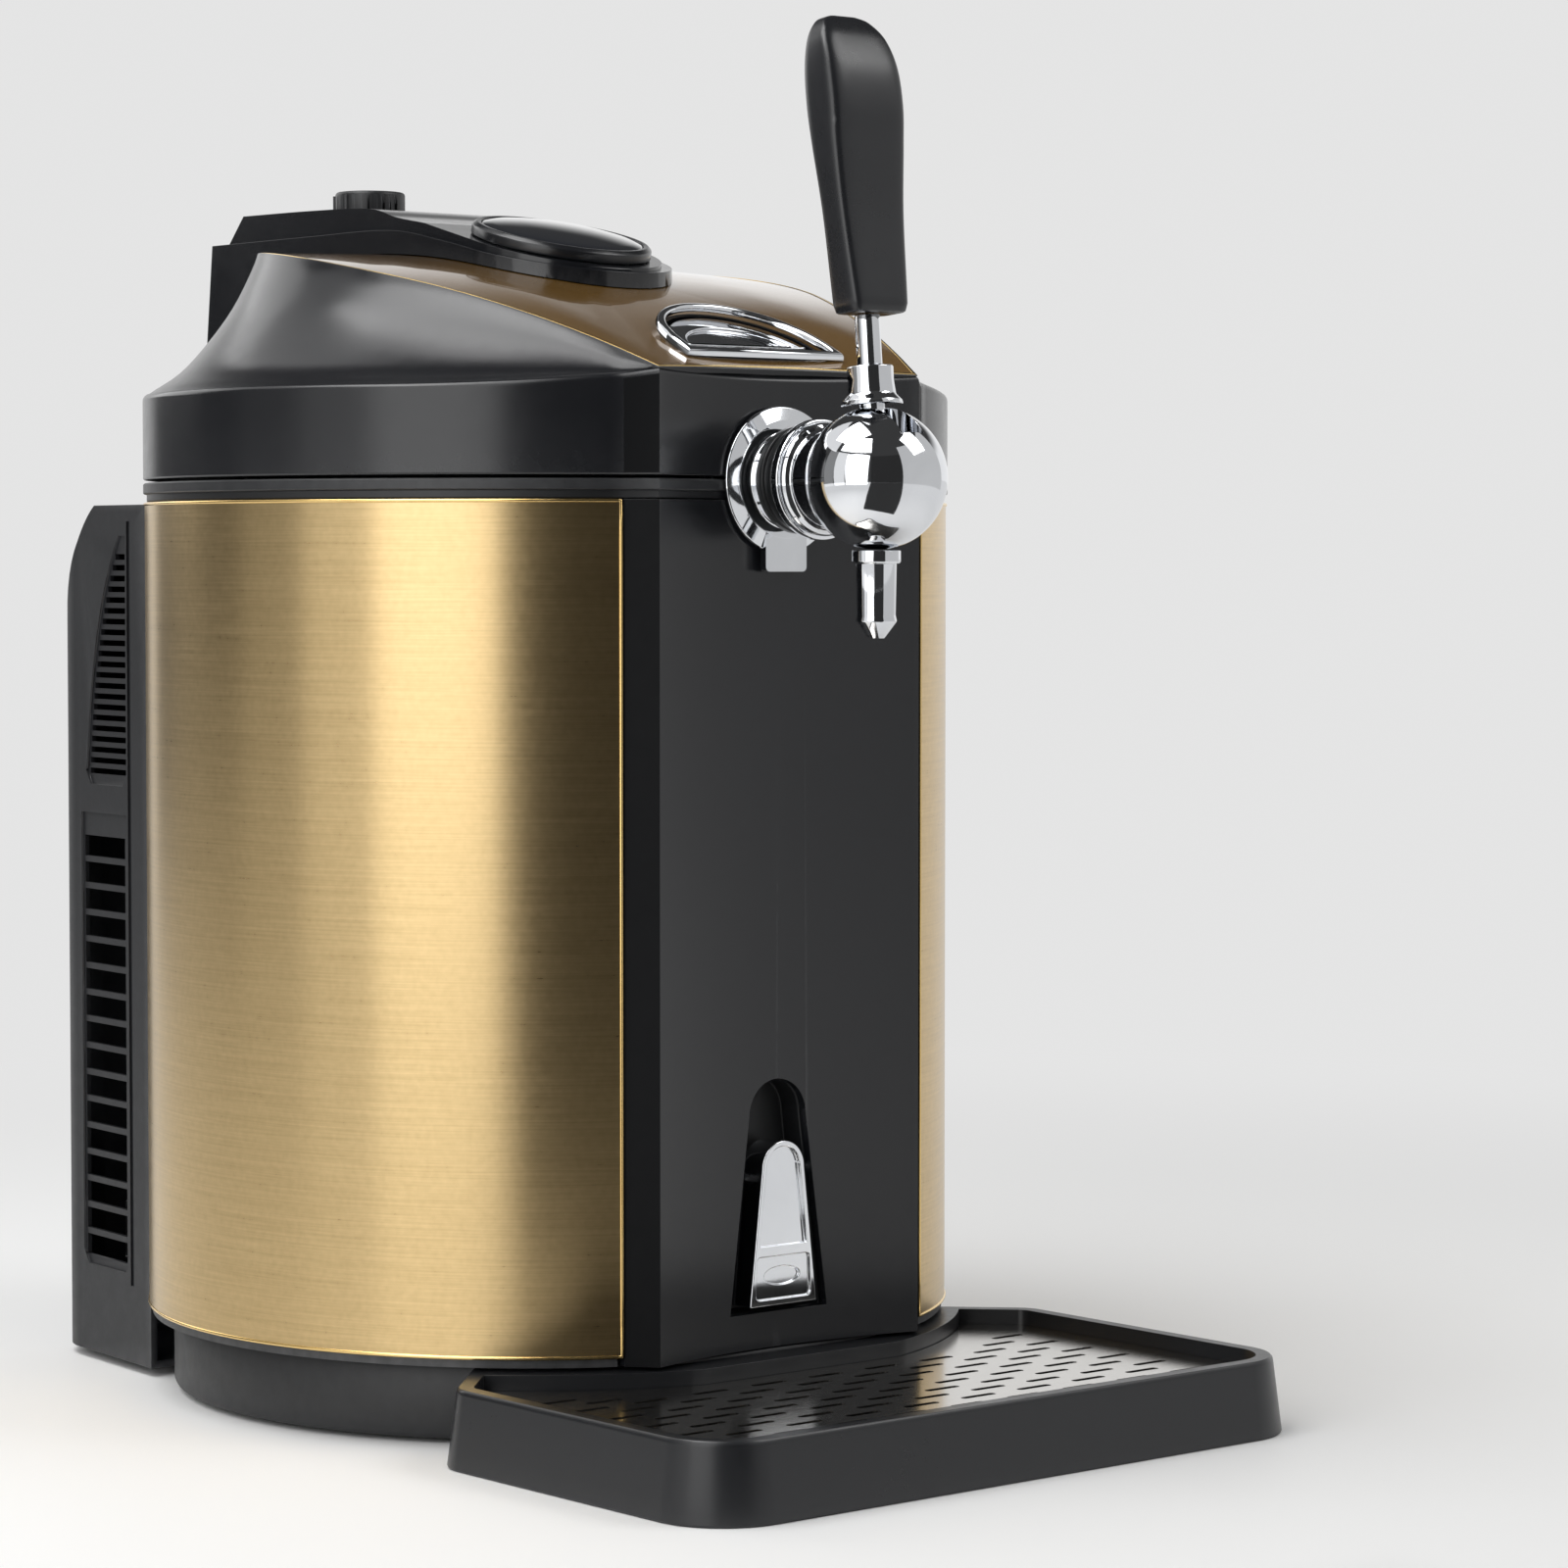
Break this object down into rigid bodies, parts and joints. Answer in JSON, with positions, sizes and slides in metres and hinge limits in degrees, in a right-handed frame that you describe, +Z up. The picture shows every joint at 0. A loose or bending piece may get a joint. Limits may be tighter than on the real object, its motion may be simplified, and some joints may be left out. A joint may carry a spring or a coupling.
{
  "type": "beer dispenser",
  "caption": "Countertop keg beer dispenser with a chrome tap, a hinged lid with latch, a louvred cooling unit and a drip tray.",
  "frame": {"origin": "middle of the bounding box on the resting surface", "axes": "+Z up, -Y towards the tap and the drip tray, +X to the right as seen from the back"},
  "size_m": [0.275, 0.408, 0.4548],
  "materials": {
    "black_plastic": "satin",
    "gold_sheet": "satin",
    "gold_gloss": "gloss",
    "chrome": "polished",
    "steel": "satin",
    "aluminium": "satin",
    "foam": "matte",
    "rubber": "matte",
    "white_ceramic": "matte",
    "dark_lens": "gloss",
    "circuit_board": "satin",
    "grey_plastic": "satin",
    "clear_hose": "satin"
  },
  "bodies": {
    "base": {"base_plinth": "black_plastic", "rubber_foot": "rubber", "body_shell": "black_plastic", "front_panel": "black_plastic", "recess_cup": "black_plastic", "paddle_pin": "steel", "gold_panel_left": "gold_sheet", "gold_panel_right": "gold_sheet", "top_ring": "black_plastic", "keg_well": "aluminium", "keg_pad": "rubber", "insulation": "foam", "cold_block": "aluminium", "peltier_module": "white_ceramic", "heat_sink": "aluminium", "fan_frame": "black_plastic", "fan_guard": "steel", "rear_housing": "black_plastic", "screw_lower_left": "steel", "screw_lower_right": "steel", "screw_upper_left": "steel", "screw_upper_right": "steel", "power_supply": "aluminium", "power_inlet": "black_plastic", "switch_frame": "black_plastic", "hinge_bracket": "black_plastic", "hinge_pin": "steel", "tap_shank": "chrome", "tap_flange": "chrome", "shank_nut": "rubber", "shank_ring": "chrome", "back_nut": "steel", "tap_body": "chrome", "spout": "chrome", "beer_line": "clear_hose", "keg_adapter": "grey_plastic", "adapter_clip": "grey_plastic"},
    "lid": {"lid_shell": "black_plastic", "lid_top_plate": "gold_gloss", "lid_liner": "grey_plastic", "lid_gasket": "rubber", "spine_cover": "black_plastic", "display_bezel": "black_plastic", "display_lens": "dark_lens", "display_board": "circuit_board", "latch_cup": "black_plastic", "latch_bezel": "chrome", "latch_pin": "steel"},
    "latch": {"latch_lever": "chrome", "latch_hook": "steel"},
    "regulator": {"regulator_knob": "black_plastic"},
    "tap_lever": {"lever_collar": "chrome", "lever_shaft": "chrome", "lever_handle": "black_plastic"},
    "push_paddle": {"push_paddle": "chrome"},
    "drip_tray": {"drip_tray": "black_plastic"},
    "grille": {"drip_grille": "steel"},
    "fan": {"fan_rotor": "black_plastic"},
    "rocker": {"rocker_switch": "black_plastic"}
  },
  "joints": [
    {"name": "lid_hinge", "type": "hinge", "parent": "base", "child": "lid", "pos_m": [0, 0.186, 0.312], "axis": [-1, 0, 0], "range_deg": [0, 85]},
    {"name": "latch_pivot", "type": "hinge", "parent": "lid", "child": "latch", "pos_m": [0, -0.05609, 0.35224], "axis": [1, 0, 0], "range_deg": [0, 8], "stiffness_Nm_per_rad": 0.2, "springref_deg": -17.19},
    {"name": "regulator_turn", "type": "hinge", "parent": "lid", "child": "regulator", "pos_m": [0, 0.143, 0.406], "axis": [0, 0, 1], "range_deg": [0, 270]},
    {"name": "tap_pivot", "type": "hinge", "parent": "base", "child": "tap_lever", "pos_m": [0, -0.132, 0.3085], "axis": [1, 0, 0], "range_deg": [0, 45]},
    {"name": "push_pivot", "type": "hinge", "parent": "base", "child": "push_paddle", "pos_m": [0, -0.0762, 0.082], "axis": [1, 0, 0], "range_deg": [0, 6], "stiffness_Nm_per_rad": 0.4, "springref_deg": -5.73},
    {"name": "tray_pull", "type": "slide", "parent": "base", "child": "drip_tray", "axis": [0, -1, 0], "range_m": [0, 0.12]},
    {"name": "grille_lift", "type": "slide", "parent": "drip_tray", "child": "grille", "axis": [0, 0, 1], "range_m": [0, 0.06]},
    {"name": "fan_spin", "type": "hinge", "parent": "base", "child": "fan", "pos_m": [0, 0.1939, 0.12], "axis": [0, 1, 0], "continuous": true},
    {"name": "rocker_tilt", "type": "hinge", "parent": "base", "child": "rocker", "pos_m": [0.055, 0.1991, 0.04], "axis": [-1, 0, 0], "range_deg": [0, 16]}
  ]
}
